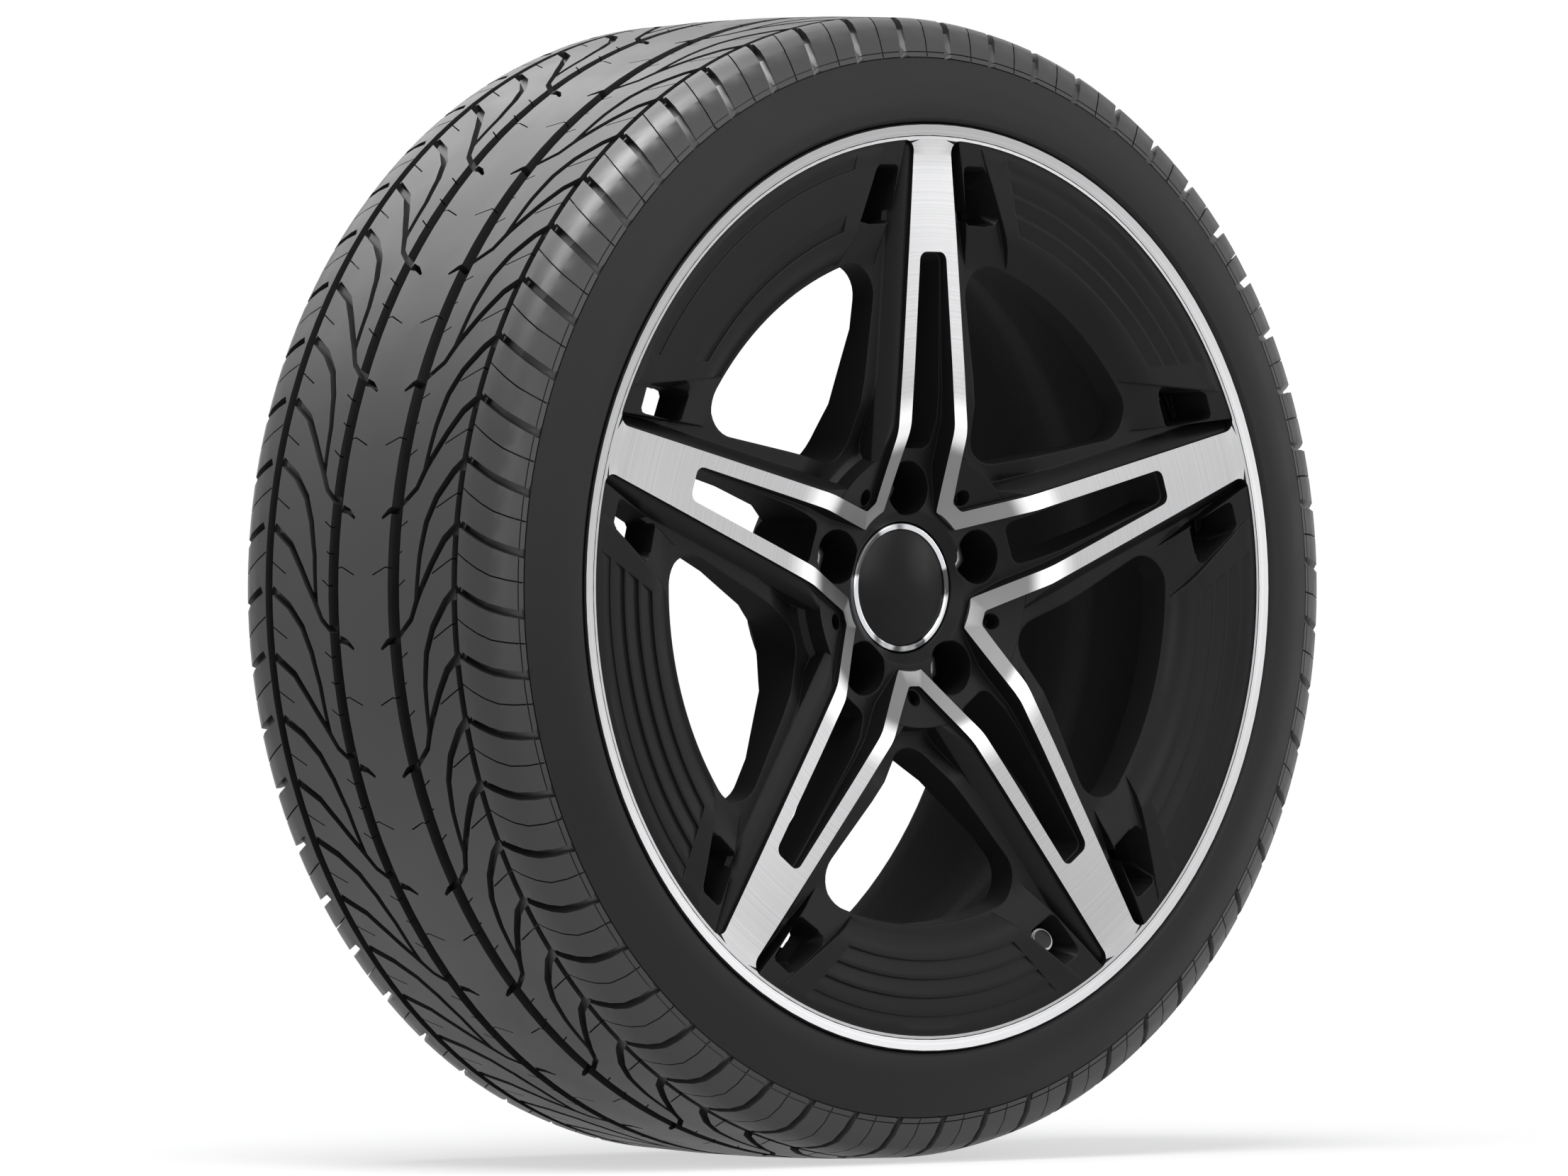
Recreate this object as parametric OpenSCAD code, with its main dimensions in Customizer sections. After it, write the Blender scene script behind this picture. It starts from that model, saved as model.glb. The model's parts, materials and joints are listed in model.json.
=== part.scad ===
/* [Rim] */
// Nominal rim diameter in inches
rim_code = 19; // [18:0.5:21]
// Nominal width between the flanges in inches
rim_width_code = 8.5; // [8:0.5:9.5]
// Height of the flange above the bead seat
flange_h = 17.3; // [15:0.1:18]
// Axial width of each flange
flange_w = 12.5; // [11:0.1:14]
// Wall of the barrel
barrel_wall = 5.5; // [5:0.1:9]
// Depth of the drop centre below the bead seat
well_depth = 22.5; // [18:0.5:26]
// Inset of the hub face from the wheel centre towards the outside
hub_offset = 45; // [35:1:55]

/* [Face] */
// Radial width of the turned ring on the outer flange
ring_w = 9.3; // [6:0.1:12]
// Width of a twin spoke where it meets the ring
band_w = 28.4; // [24:0.1:34]
// Angle at which each outer edge of a twin spoke opens towards the hub
band_flare = 4.39; // [3.5:0.01:5]
// Width of the slot between the twin bars at its outer end
slot_w = 20.2; // [16:0.1:23]
// Angle at which the slot opens towards the hub
slot_flare = 4.07; // [3.5:0.01:4.4]
// Radius where the slot between the twin bars ends
slot_end_r = 188.6; // [175:0.1:195]
// Radius where the face turns in towards the hub
kink_r = 91; // [86:0.5:100]
// Angle at which the face falls away to the hub
cone_angle = 23.9; // [18:0.1:28]
// Thickness of the disc behind the spokes
disc_t = 30; // [26:0.5:36]
// Depth of the shoulders beside the spokes
shoulder_depth = 12.8; // [10:0.1:15]
// Inner radius of the ribbed panel, which is the window's outer edge
window_r = 189.3; // [182:0.1:196]
// Height of the arc steps in the panels
rib_depth = 1.5; // [1:0.1:2.5]

/* [Hub] */
// Diameter of the hub bore
hub_bore_d = 66.6; // [60:0.1:70]
// Diameter of the bolt circle
bolt_circle_d = 112; // [108:1:114]
// Nominal diameter of a wheel bolt
bolt_d = 14; // [12:1:14]
// Diameter of the recess round a bolt head
bolt_recess_d = 30.6; // [28:0.1:32]
// Width across the flats of a bolt head
bolt_flats = 17; // [16:0.5:19]
// Length of a bolt beyond the hub face
bolt_reach = 27; // [20:1:32]
// Outer diameter of the centre cap
cap_d = 73.6; // [72:0.1:75]
// Width of the bright ring on the centre cap
cap_ring_w = 4.2; // [3:0.1:6]

/* [Valve] */
// Diameter of the valve cap
valve_cap_d = 13.6; // [11:0.1:14]
// Length of the valve cap
valve_cap_l = 16; // [13:0.5:18]
// Angle of the valve to the wheel axis
valve_tilt = 24; // [18:1:30]

/* [Tyre] */
// Outer diameter of the tyre
tyre_d = 647; // [640:1:660]
// Width of the tyre at its widest
tyre_w = 242; // [238:1:250]
// Depth of the main tread grooves
groove_depth = 7.5; // [5:0.5:8]
// Number of repeats of the tread pattern
tread_pitches = 28; // [24:1:30]

/* [Hidden] */
inch = 25.4;
spokes = 5;
spoke_step = 360 / spokes;
half_step = spoke_step / 2;
over = 1;
far = 200;

// Rim sizes. Depths are measured back from the outer flange face, at front_z
seat_r = (rim_code * inch + 4.8) / 2;
rim_w = rim_width_code * inch;
flange_r = seat_r + flange_h;
front_z = rim_w / 2 + flange_w;
total_w = 2 * front_z;
hub_depth = front_z - hub_offset;
ring_r = flange_r - ring_w;

// Face of the disc, as depth at a radius
ring_fall = 1.3;
line_offset = 2.1;
line_depth = 0.45;
dish_depth = 2;
crest_depth = 0.8;
crest_r = 0.48 * flange_r;
dish_r = ring_r - 8;
kink_blend = 5;
cone_slope = tan(cone_angle);
function cone_depth(r) = crest_depth + 0.3 + (kink_r - r) * cone_slope;
function kink_depth(r) = crest_depth + 0.3 + pow(kink_r + kink_blend - r, 2) / (4 * kink_blend) * cone_slope;

// Hub region
hub_floor = 22.5;
pad_r = bolt_circle_d / 2 + 19;
v_tip = 55.5;
v_back = 45.6;
v_floor = 3.6;
v_hole_r = 62.3;
v_hole_d = 9;
v_hole_depth = 12;
bolt_r = bolt_circle_d / 2;
bolt_seat_depth = 58;
bolt_hole_r = bolt_d / 2 + 0.6;
bolt_neck_d = bolt_d - 1.2;
cap_seat = 33;
cap_front = 27;
cap_bore_r = hub_bore_d / 2;
cap_recess_r = cap_d / 2 + 0.5;
cap_mouth_r = cap_recess_r + 7;
undercut_top = 40;
undercut_bottom = 46;
undercut_r = cap_bore_r + 2;

// Vents: a sloped recess that narrows down to the hole
vent_at = [96, 200.5];
vent_hole = [[-11.5, -2.7], [0.3, -9.8], [10.6, 3.4], [0.5, 9.3]];
vent_depth = 18;
vent_spread = 2.1;

// Arc steps of the panels. The panel before the first spoke has only the ends of its middle steps
step_radii = [209, 219.5, 230, 240.4];
short_sector = spokes - 1;

// Wall that drops from the outer hump to the well, square to the valve
drop_depth = flange_w + 26;
drop_slope = tan(valve_tilt);

// Valve place: on the air side of that wall, behind one of the vents
valve_angle = 154.7;
valve_in = 8;
valve_r = seat_r - 2 - valve_in - barrel_wall * sin(valve_tilt);
valve_depth = drop_depth + valve_in * drop_slope - barrel_wall * cos(valve_tilt);
valve_hole_r = 5.75;
stem_r = 4;
stem_bore_r = 2;
screw_r = 1.6;
base_h = 3;
nut_h = 5;
stem_end = 23.5;
core_end = stem_end - 1.5;
core_l = 16.5;
core_base = core_end - core_l;
core_wall = 2;
pin_r = 0.5;
pin_travel = 1.5;
seal_h = 1.2;
seal_gap = 0.05;
cap_lid = 2.6;
cap_clear = 0.1;
bore_clear = 1.1;
spot_face = 0.3;
sensor_l = 46;
sensor_w = 22;
sensor_h = 20;
sensor_ear = 3;

// Tread pattern. Each path is [angle round the tyre, depth behind the face, width], and it
// starts at the main groove that feeds it. Angles are clockwise as seen from the face
tread_start = 238.1;
tread_edge = 88.8;
tread_slant = 28;
pitch_angle = 360 / tread_pitches;
tread_scale = pitch_angle / 12.857;
near_branch = [[1.4, 86, 3], [3.1, 75, 3.4], [5.2, 69.5, 4], [8.6, 58, 4.4], [10.9, 49, 4.8], [12.6, 37, 5]];
near_sweep = [[4.6, 71, 3], [9.4, 68.2, 3.6], [12.6, 64.5, 4.2], [15.1, 58, 4.6], [17.6, 47, 5], [19.1, 37, 5]];
near_hook = [[1.2, 90, 4.6], [0.8, 96, 3.4], [0.1, 101.6, 1.6]];
far_branch = [[1.4, 140, 3], [3, 151, 3.4], [5.2, 158, 4], [8.1, 169, 4.4], [10.4, 179, 4.8], [12.2, 195, 5]];
far_sweep = [[4.6, 155.5, 3], [9.4, 157.4, 3.6], [12.6, 161.8, 4.2], [15.1, 168.5, 4.6], [17.2, 180, 5], [18.8, 195, 5]];
far_hook = [[1.1, 136, 4.6], [0.8, 130, 3.4], [0.1, 124.6, 1.6]];

// Outline of a stroke along a path of [x, y, width]
function stroke_side(p, side) = [for (i = [0 : len(p) - 1])
  let (a = p[max(i - 1, 0)], b = p[min(i + 1, len(p) - 1)], dx = b[0] - a[0], dy = b[1] - a[1],
    k = side * p[i][2] / 2 / norm([dx, dy])) [p[i][0] - k * dy, p[i][1] + k * dx]];
function stroke(p) = let (back = stroke_side(p, -1))
  concat(stroke_side(p, 1), [for (i = [len(p) - 1 : -1 : 0]) back[i]]);

// Outlines in the plane of the wheel: x to the right, y up along a spoke or a pocket
function half_band(y) = band_w / 2 + (dish_r - y) * tan(band_flare);
function half_slot(y) = slot_w / 2 + (slot_end_r - 5 - y) * tan(slot_flare);
function turn(p, a) = [p[0] * cos(a) - p[1] * sin(a), p[0] * sin(a) + p[1] * cos(a)];
function at_depth(p) = [for (q = p) [q[0], front_z - q[1]]];

module stand() {
  rotate([90, 0, 0]) children();
}

module round_out(r) {
  offset(r = r) offset(delta = -r) children();
}

module prism(top, bottom) {
  translate([0, 0, front_z - bottom]) linear_extrude(bottom - top) children();
}

module sectors() {
  for ($sector = [0 : spokes - 1]) rotate([0, 0, -half_step - $sector * spoke_step]) children();
}

module all_spokes() {
  for (i = [0 : spokes - 1]) rotate([0, 0, -i * spoke_step]) children();
}

function face_points() = [
  [kink_r - kink_blend, cone_depth(kink_r - kink_blend)],
  [kink_r - kink_blend / 2, kink_depth(kink_r - kink_blend / 2)],
  [kink_r, kink_depth(kink_r)],
  [kink_r + kink_blend / 2, kink_depth(kink_r + kink_blend / 2)],
  [kink_r + kink_blend, crest_depth + 0.3],
  [crest_r, crest_depth],
  [0.82 * dish_r, (crest_depth + dish_depth) / 2 - 0.1],
  [dish_r, dish_depth],
  [ring_r, ring_fall],
  [ring_r + line_offset - 0.25, ring_fall - 0.05],
  [ring_r + line_offset, ring_fall + line_depth],
  [ring_r + line_offset + 0.25, ring_fall - 0.1],
  [flange_r - 1, 0]];

// Solid of revolution of the casting, before any pocket is cut
module wheel_blank() {
  lip = 1;
  hump = 1.2;
  well_r = seat_r - well_depth;
  back = total_w;
  hub_top = hub_floor - 2;
  valve_wall = (barrel_wall + spot_face) / cos(valve_tilt);
  rotate_extrude($fn = 180) polygon(at_depth(concat(
    [[cap_bore_r, hub_top], [kink_r - (hub_top - cone_depth(kink_r)) / cone_slope, hub_top]],
    face_points(),
    [[flange_r, lip], [flange_r, 9], [flange_r - 2.5, flange_w], [seat_r + 5, flange_w],
     [seat_r, flange_w + 5], [seat_r - 1, flange_w + 20], [seat_r + hump - 1, flange_w + 23],
     [seat_r - 2, drop_depth], [well_r, drop_depth + (well_depth - 2) * drop_slope],
     [well_r, flange_w + 82], [seat_r - 4.5, flange_w + 128],
     [seat_r - 2, back - flange_w - 28], [seat_r + hump - 1, back - flange_w - 24],
     [seat_r - 1, back - flange_w - 20], [seat_r, back - flange_w - 5],
     [seat_r + 5, back - flange_w], [flange_r - 2.5, back - flange_w],
     [flange_r, back - 9], [flange_r, back - 3], [flange_r - 2.5, back],
     [seat_r, back], [seat_r - 3, back - 5], [seat_r - barrel_wall, back - flange_w - 8],
     [seat_r - 4.5 - barrel_wall, flange_w + 132], [well_r - barrel_wall, flange_w + 86],
     [well_r - barrel_wall, drop_depth + (well_depth - 2 + barrel_wall) * drop_slope - valve_wall],
     [seat_r - 8, drop_depth + 6 * drop_slope - valve_wall],
     [seat_r - 9.5, disc_t], [150, disc_t], [112, disc_t + 11], [pad_r + 9, hub_depth - 14], [pad_r + 2, hub_depth - 1],
     [pad_r, hub_depth], [cap_bore_r, hub_depth]])));
}

// Space in front of the sloped floors of a pocket
module above(points) {
  rotate_extrude($fn = 180) polygon(at_depth(concat([[0, points[0][1]]], points,
    [[flange_r, points[len(points) - 1][1]], [flange_r, -over], [0, -over]])));
}

// Material that lies behind a surface
module below(points) {
  rotate_extrude($fn = 180) polygon(at_depth(concat([[0, points[0][1]]], points,
    [[flange_r, points[len(points) - 1][1]], [flange_r, far + over], [0, far + over]])));
}

module pocket_outline() {
  edge_low = turn([-half_band(40), 40], -half_step);
  edge_high = turn([-half_band(flange_r + 20), flange_r + 20], -half_step);
  intersection() {
    polygon([edge_low, edge_high, [0, flange_r + 40], [-edge_high[0], edge_high[1]],
      [-edge_low[0], edge_low[1]]]);
    translate([-far, v_tip]) square([2 * far, far * 2]);
    circle(r = ring_r + 0.3, $fn = 180);
  }
}

// The pocket has larger corners at the ring than at its blunt tip near the hub
module rounded_pocket() {
  round_out(6.5) pocket_outline();
  intersection() {
    round_out(2.6) pocket_outline();
    translate([-far, 0]) square([2 * far, kink_r + v_tip]);
  }
}

module window_outline() {
  round_out(17) intersection() {
    polygon([[0, 82.9], [0.968 * far, 82.9 + far], [-0.968 * far, 82.9 + far]]);
    circle(r = window_r, $fn = 180);
  }
}

module panel_sides(widen) {
  polygon([[0, 150 - widen], [1.6 * far, 150 + far - widen], [-1.6 * far, 150 + far - widen]]);
}

// Sloped flank along one outer edge of a twin spoke
module flank() {
  rotate([0, 0, -half_step]) translate([-half_band(0), 0, front_z])
    rotate([0, 0, -band_flare]) rotate([-90, 0, 0])
      linear_extrude(flange_r + 10) polygon([[4, 60], [4, 3.5], [-0.6, 4.4],
        [-5.3, 7.9], [-9.1, shoulder_depth + 0.4], [-9.1, 60]]);
}

function panel_depth(r) = 2.2 - (r - 213) / 45;

// Steps rise slowly outwards and fall off at each radius in the list
module panel_steps(radii) {
  rotate_extrude($fn = 180) for (r = radii)
    polygon(at_depth([[r, 0], [r + 0.9, panel_depth(r) + rib_depth],
      [r + 9, panel_depth(r + 9) + 0.05], [r + 9.6, 0]]));
}

// Panel between two spokes, with its arc steps
module panel() {
  difference() {
    intersection() {
      prism(-over, 60) panel_sides(0);
      below([[window_r - 10, 20], [window_r, shoulder_depth - 0.4], [194, 8.4], [200, 4.6],
        [206, 2.7], [213, 2.2], [240, 1.6], [ring_r - 4, 1.4], [ring_r, 2.6]]);
    }
    difference() {
      intersection() {
        prism(-over, 10) polygon([[0, 145.6], [far, 145.6 + 0.87 * far], [-far, 145.6 + 0.87 * far]]);
        panel_steps(step_radii);
      }
      if ($sector == short_sector) intersection() {
        prism(-2 * over, 12) polygon([[0, 0], [0.37 * far, far], [far, 2 * far], [-far, 2 * far], [-0.37 * far, far]]);
        panel_middle();
      }
    }
  }
}

// Where the middle steps are left out of one panel
module panel_middle() {
  rotate_extrude($fn = 180) polygon(at_depth([[step_radii[1] - 0.9, -over], [step_radii[1] - 0.9, 9],
    [step_radii[3] - 0.3, 9], [step_radii[3] - 0.3, -over]]));
}

// Raised surround of the two vents, between the panel and the spokes
module vent_surround() {
  intersection() {
    prism(-over, 60) polygon([[0, 96], [(flange_r - 96) * 1.103, flange_r],
      [-(flange_r - 96) * 1.103, flange_r]]);
    below([[180, far], [180, shoulder_depth + 1.2], [192, 10.8], [200, 8], [210, 5.8], [235, 3.1], [ring_r, 2]]);
  }
}

module pocket_cut() {
  wall_r = 79.2;
  floors = [[v_tip - 10, cone_depth(v_tip - 10) + v_floor], [79, cone_depth(79) + v_floor],
    [81, 20], [84, 22.8], [90, 23], [100, 19], [112, 14], [125, shoulder_depth]];
  difference() {
    intersection() {
      prism(-over, 50) rounded_pocket();
      above(floors);
    }
    intersection() {
      union() {
        flank();
        mirror([1, 0, 0]) flank();
      }
      below(concat([[wall_r, far], [wall_r, cone_depth(wall_r) + v_floor]],
        [for (p = face_points()) if (p[0] < dish_r) [p[0], p[1] + v_floor]]));
    }
    panel();
    vent_surround();
  }
}

module vent_cut() {
  difference() {
    translate([vent_at[0], vent_at[1], front_z - vent_depth])
      linear_extrude(vent_depth + over, scale = vent_spread) round_out(2.4, $fn = 20) polygon(vent_hole);
    prism(-2 * over, 60) panel_sides(0.3);
  }
  prism(vent_depth - 2, disc_t + 5) translate(vent_at) round_out(2.2, $fn = 20)
    offset(delta = -0.1) polygon(vent_hole);
}

module slot_outline() {
  round_out(5) polygon([[-half_slot(30), 30], [half_slot(30), 30],
    [half_slot(slot_end_r), slot_end_r], [-half_slot(slot_end_r), slot_end_r]]);
}

module slot_hole_outline() {
  round_out(5) polygon([[-12.2, 78.5], [12.2, 78.5], [12.6, 108],
    [half_slot(slot_end_r) - 0.8, slot_end_r - 1], [-half_slot(slot_end_r) + 0.8, slot_end_r - 1],
    [-12.6, 108]]);
}

// Channels between the twin bars, which run together round the cap
module channel_cut() {
  intersection() {
    prism(-over, 50) offset(r = -4) offset(delta = 4) {
      all_spokes() slot_outline();
      rotate([0, 0, 90]) circle(r = v_back / cos(half_step), $fn = spokes);
    }
    above([[70, hub_floor], [78, 19.5], [95, 12.5], [110, 10.5], [slot_end_r, 6]]);
  }
}

module bolt_cut() {
  translate([0, bolt_r, 0]) {
    translate([0, 0, front_z - bolt_seat_depth]) cylinder(h = 60, d = bolt_recess_d, $fn = 64);
    translate([0, 0, front_z - bolt_seat_depth - 8])
      cylinder(h = 8.01, r1 = bolt_hole_r, r2 = bolt_hole_r + 8 * tan(30), $fn = 64);
    translate([0, 0, front_z - hub_depth - over])
      cylinder(h = hub_depth - bolt_seat_depth + over, r = bolt_hole_r, $fn = 64);
  }
}

// Shallow pockets that lighten the hub face between the bolts
module hub_pocket() {
  prism(hub_depth - 12, hub_depth + over) round_out(5) intersection() {
    difference() {
      circle(r = pad_r - 6, $fn = 96);
      circle(r = cap_bore_r + 9, $fn = 96);
    }
    polygon([[0, 0], [far * tan(17), far], [-far * tan(17), far]]);
  }
}

// Bore for the hub and the recess, lip and undercut that the cap snaps into
module centre_cut() {
  rotate_extrude($fn = 128) polygon(at_depth([[0, 0], [cap_mouth_r, 0], [cap_mouth_r, hub_floor - 0.5],
    [cap_recess_r, cap_front + 0.4], [cap_recess_r, cap_seat],
    [cap_bore_r, cap_seat], [cap_bore_r, undercut_top], [undercut_r, undercut_top + 2],
    [undercut_r, undercut_bottom], [cap_bore_r, undercut_bottom + 2],
    [cap_bore_r, hub_depth + over], [0, hub_depth + over]]));
}

module at_valve() {
  rotate([0, 0, -valve_angle]) translate([0, valve_r, front_z - valve_depth])
    rotate([valve_tilt, 0, 0]) children();
}

module wheel() {
  color([0.05, 0.05, 0.055]) stand() difference() {
    wheel_blank();
    sectors() {
      pocket_cut();
      prism(-over, 70) window_outline();
      vent_cut();
      mirror([1, 0, 0]) vent_cut();
      hub_pocket();
      translate([0, v_hole_r, front_z - cone_depth(v_hole_r) - v_hole_depth])
        cylinder(h = 3 * v_hole_depth, d = v_hole_d, $fn = 48);
    }
    channel_cut();
    all_spokes() {
      prism(-over, 70) slot_hole_outline();
      bolt_cut();
    }
    centre_cut();
    at_valve() {
      rod(valve_hole_r, -3 * barrel_wall, over);
      rod(valve_cap_d / 2 + bore_clear, 0, 2 * stem_end);
    }
  }
}

// Curved groove in the tread, cut straight in towards the axis at the middle of its path
module tread_groove(path) {
  crown = tyre_d / 2;
  middle = tread_scale * (path[0][0] + path[len(path) - 1][0]) / 2;
  rotate([0, 0, -middle]) translate([0, crown + over, 0]) rotate([90, 0, 0])
    linear_extrude(groove_depth + over) polygon(stroke([for (p = path)
      [crown * sin(tread_scale * p[0] - middle), front_z - p[1], p[2]]]));
}

// Cross groove over one shoulder, with a floor that follows the shoulder down
module shoulder_groove() {
  crown = tyre_d / 2;
  middle = tread_edge + 12;
  translate([0, 0, middle]) rotate([0, -tread_slant, 0]) translate([0, 0, -middle])
    rotate([0, -90, 0]) linear_extrude(4.3, center = true) polygon([
      [tread_edge - 7, crown + over], [tread_edge - 7, crown - 3 - groove_depth + 2],
      [tread_edge + 8, crown - 4.5 - groove_depth + 2], [tread_edge + 18, crown - 17],
      [tread_edge + 24, crown - 26], [tread_edge + 40, crown - 26], [tread_edge + 40, crown + over]]);
}

module tread() {
  for (i = [0 : tread_pitches - 1]) rotate([0, 0, -tread_start - i * pitch_angle]) {
    tread_groove(near_branch);
    tread_groove(near_sweep);
    tread_groove(near_hook);
    tread_groove(far_branch);
    tread_groove(far_sweep);
    tread_groove(far_hook);
    for (half = [0, pitch_angle / 2]) rotate([0, 0, -half]) {
      rotate([0, 0, -tread_scale * 10.8]) shoulder_groove();
      rotate([0, 0, -tread_scale * 10.8]) mirror([0, 0, 1]) shoulder_groove();
    }
  }
}

module tyre() {
  crown = tyre_d / 2;
  half_w = tyre_w / 2;
  shoulder_r = crown - 2.4;
  groove_places = [80.5, 31, -20, -77.5];
  groove_widths = [4.6, 9.5, 8.6, 6.4];
  outer = [[flange_r + 0.6, front_z - 1.5], [flange_r + 3, half_w], [flange_r + 8, half_w + 0.6],
    [flange_r + 14, half_w], [flange_r + 24, half_w - 3], [shoulder_r - 26, half_w - 8],
    [shoulder_r - 13, half_w - 13], [shoulder_r - 5.5, half_w - 18], [shoulder_r - 2, half_w - 24],
    [shoulder_r, tread_edge], [crown - 0.6, tread_edge / 2], [crown, 0]];
  inner = [[crown - 13, 0], [crown - 13.6, tread_edge / 2], [shoulder_r - 14, tread_edge],
    [shoulder_r - 28, half_w - 19], [flange_r + 18, half_w - 12], [flange_r, front_z - flange_w - 9],
    [seat_r + 4, front_z - flange_w - 14], [seat_r - 0.7, front_z - flange_w - 16],
    [seat_r, front_z - flange_w - 5], [seat_r + 5, front_z - flange_w],
    [flange_r - 2.5, front_z - flange_w], [flange_r, front_z - 9]];
  color([0.07, 0.07, 0.07]) stand() difference() {
    rotate_extrude($fn = 180) polygon(concat(outer,
      [for (i = [len(outer) - 2 : -1 : 0]) [outer[i][0], -outer[i][1]]],
      [for (i = [len(inner) - 1 : -1 : 0]) [inner[i][0], -inner[i][1]]],
      [for (i = [1 : len(inner) - 1]) inner[i]]));
    rotate_extrude($fn = 180) for (i = [0 : 3])
      translate([crown - groove_depth - 1, groove_places[i] - groove_widths[i] / 2])
        square([20, groove_widths[i]]);
    tread();
  }
}

module centre_cap() {
  leg_in = cap_bore_r - 2.7;
  leg_end = undercut_bottom + 2;
  lip = cap_bore_r + 1.2;
  dish = cap_d / 2 - cap_ring_w - 0.2;
  color([0.03, 0.03, 0.03]) stand() difference() {
    rotate_extrude($fn = 96) polygon(at_depth([[0, cap_front + 1.2], [dish, cap_front + 1.2],
      [dish, cap_front + 3], [cap_d / 2, cap_front + 3], [cap_d / 2, cap_seat],
      [cap_bore_r - 0.15, cap_seat], [cap_bore_r - 0.15, undercut_top], [lip, undercut_top + 2],
      [lip, undercut_top + 3], [cap_bore_r - 0.6, leg_end], [leg_in, leg_end],
      [leg_in, cap_front + 3.6], [0, cap_front + 3.6]]));
    for (a = [0 : 60 : 300]) rotate([0, 0, a]) translate([0, -2.5, front_z - leg_end - over])
      cube([cap_d, 5, leg_end - cap_seat - 1 + over]);
  }
}

module cap_ring() {
  r_in = cap_d / 2 - cap_ring_w;
  color([0.8, 0.8, 0.82]) stand() rotate_extrude($fn = 96) polygon(at_depth([[r_in, cap_front + 3],
    [r_in, cap_front + 0.8], [r_in + 0.8, cap_front], [cap_d / 2 - 1, cap_front],
    [cap_d / 2, cap_front + 1], [cap_d / 2, cap_front + 3]]));
}

// Round spring wire that holds the legs of the cap outwards
module cap_wire() {
  wire_r = 0.8;
  color([0.6, 0.6, 0.6]) stand() translate([0, 0, front_z - undercut_top - 3])
    rotate_extrude($fn = 96) translate([cap_bore_r - 2.7 - wire_r, 0]) circle(r = wire_r, $fn = 24);
}

module wheel_bolt() {
  collar_r = bolt_hole_r + 8 * tan(30);
  shank = hub_depth + bolt_reach - bolt_seat_depth;
  thread = bolt_reach - 0.5;
  translate([0, bolt_r, front_z - bolt_seat_depth]) {
    difference() {
      union() {
        translate([0, 0, 2.9]) cylinder(h = 0.65 * bolt_flats, d = bolt_flats / cos(30), $fn = 6);
        cylinder(h = 3, r = collar_r, $fn = 64);
      }
      translate([0, 0, 0.53 * bolt_flats]) cylinder(h = bolt_flats, d = 0.56 * bolt_flats, $fn = 48);
    }
    translate([0, 0, -8]) cylinder(h = 8, r1 = bolt_hole_r, r2 = collar_r, $fn = 64);
    translate([0, 0, -shank]) cylinder(h = thread, d = bolt_d, $fn = 64);
    translate([0, 0, thread - shank - over]) cylinder(h = shank - thread + over, d = bolt_neck_d, $fn = 64);
  }
}

module bolt_at(i) {
  color([0.25, 0.25, 0.27]) stand() rotate([0, 0, -i * spoke_step]) wheel_bolt();
}

module rod(r, bottom, top, sides = 48) {
  translate([0, 0, bottom]) cylinder(h = top - bottom, r = r, $fn = sides);
}

module valve_stem() {
  color([0.7, 0.7, 0.72]) stand() at_valve() difference() {
    union() {
      rod(valve_hole_r + 2.2, -barrel_wall - 2 * base_h, -barrel_wall - base_h);
      rod(stem_r, -barrel_wall - base_h - 1, stem_end);
    }
    rod(stem_bore_r, 2, stem_end + over);
    rod(screw_r, -barrel_wall - 2 * base_h - over, 3);
  }
}

// Rubber seal in the valve hole and against the wall of the well
module valve_grommet() {
  color([0.1, 0.1, 0.1]) stand() at_valve() difference() {
    union() {
      rod(valve_hole_r + 2.2, -barrel_wall - base_h, -barrel_wall);
      rod(valve_hole_r, -barrel_wall - 1, 0);
    }
    rod(stem_r, -barrel_wall - base_h - over, over);
  }
}

module valve_nut() {
  color([0.7, 0.7, 0.72]) stand() at_valve() difference() {
    union() {
      cylinder(h = nut_h, d = 12 / cos(30), $fn = 6);
      rod(valve_hole_r + 1.8, 0, 1.2);
    }
    rod(stem_r, -over, nut_h + over);
  }
}

module valve_core() {
  color([0.78, 0.66, 0.35]) stand() at_valve() difference() {
    rod(stem_bore_r, core_base, core_end);
    rod(stem_bore_r - 0.5, core_base + core_wall, core_end - core_wall - 1);
    rod(pin_r + 0.4, core_base - over, core_base + core_wall + over);
    rod(pin_r + 0.05, core_end - core_wall - 2, core_end + over);
  }
}

module valve_pin() {
  color([0.75, 0.75, 0.77]) stand() at_valve() {
    rod(pin_r, core_base - 2.5, core_end + 0.8);
    rod(stem_bore_r - 0.5, core_base - 2.5, core_base);
    rod(pin_r + 0.6, core_end - core_wall - 2.2, core_end - core_wall - 1.2);
  }
}

// Coil that closes the valve, on the foot of the core. It is drawn at its pressed length
module valve_spring() {
  wire_r = 0.15;
  coil_r = 1.1;
  turns = 6;
  per_turn = 12;
  sides = 5;
  bottom = core_base + core_wall + wire_r;
  rise = core_end - core_wall - 2.2 - pin_travel - 0.1 - wire_r - bottom;
  steps = turns * per_turn;
  rings = [for (i = [0 : steps]) for (k = [0 : sides - 1])
    let (a = i * 360 / per_turn, b = k * 360 / sides, r = coil_r + wire_r * cos(b))
      [r * cos(a), r * sin(a), bottom + rise * i / steps + wire_r * sin(b)]];
  color([0.8, 0.8, 0.8]) stand() at_valve() polyhedron(rings, concat(
    [[for (k = [sides - 1 : -1 : 0]) k]],
    [[for (k = [0 : sides - 1]) steps * sides + k]],
    [for (i = [0 : steps - 1]) for (k = [0 : sides - 1])
      [i * sides + k, i * sides + (k + 1) % sides, (i + 1) * sides + (k + 1) % sides,
       (i + 1) * sides + k]]));
}

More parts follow.
